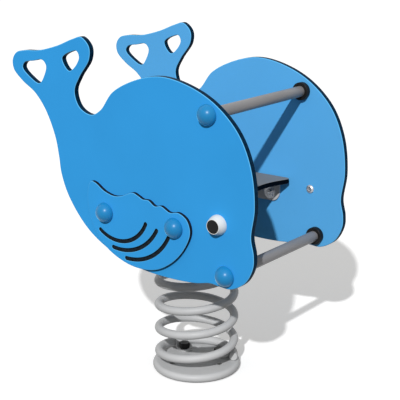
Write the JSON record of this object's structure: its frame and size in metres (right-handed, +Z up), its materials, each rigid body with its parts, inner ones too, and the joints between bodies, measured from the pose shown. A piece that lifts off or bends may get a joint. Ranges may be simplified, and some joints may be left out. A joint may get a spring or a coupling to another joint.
{
  "type": "spring rider",
  "caption": "Playground spring rider: whale-shaped side panels with a seat between them, a hand bar and a foot bar, rocking on one steel coil spring with a round base disc.",
  "frame": {"origin": "centre of the base disc, on its underside, where the spring axis meets the ground", "axes": "+X is where the rider looks, +Y is the rider's left side, +Z is up along the spring axis"},
  "size_m": [0.6847, 0.441, 0.7984],
  "materials": {
    "panel_blue": "satin two-colour sheet, blue skins on a black core",
    "cap_blue": "glossy moulded",
    "seat_grey": "satin sheet, grey skins on a black core",
    "spring_grey": "semi-gloss powder coat",
    "carrier_grey": "semi-gloss powder coat",
    "tube_grey": "satin powder coat",
    "black_plastic": "satin moulded",
    "eye_white": "glossy moulded",
    "bolt_steel": "bright plated",
    "insert_brass": "machined"
  },
  "bodies": {
    "base": {"base_disc": "spring_grey", "lower_clamps": "spring_grey", "lower_studs": "bolt_steel", "lower_nuts": "bolt_steel", "lower_nut_caps": "black_plastic"},
    "spring": {"spring": "spring_grey"},
    "rider": {"right_panel": "panel_blue", "left_panel": "panel_blue", "right_fin": "panel_blue", "left_fin": "panel_blue", "cap_bases": "cap_blue", "bolt_caps": "cap_blue", "seat": "seat_grey", "upper_clamps": "spring_grey", "seat_carrier": "carrier_grey", "handle_tube": "tube_grey", "foot_tube": "tube_grey", "tube_collars": "black_plastic", "right_pupil": "black_plastic", "left_pupil": "black_plastic", "right_eye": "eye_white", "left_eye": "eye_white", "upper_studs": "bolt_steel", "upper_nuts": "bolt_steel", "seat_bolts": "bolt_steel", "fin_bolts": "bolt_steel", "fin_washers": "bolt_steel", "fin_nuts": "bolt_steel", "tube_plugs": "bolt_steel", "tube_bolts": "bolt_steel", "eye_screws": "bolt_steel", "seat_inserts": "insert_brass"}
  },
  "joints": [
    {"name": "rock", "type": "hinge", "parent": "base", "child": "spring", "pos_m": [0, 0, 0.125], "axis": [0, 1, 0], "range_deg": [-25, 25], "stiffness_Nm_per_rad": 750, "deforming": ["spring"]},
    {"name": "sway", "type": "hinge", "parent": "spring", "child": "rider", "pos_m": [0, 0, 0.335], "axis": [1, 0, 0], "range_deg": [-15, 15], "stiffness_Nm_per_rad": 750, "deforming": ["spring"]}
  ]
}
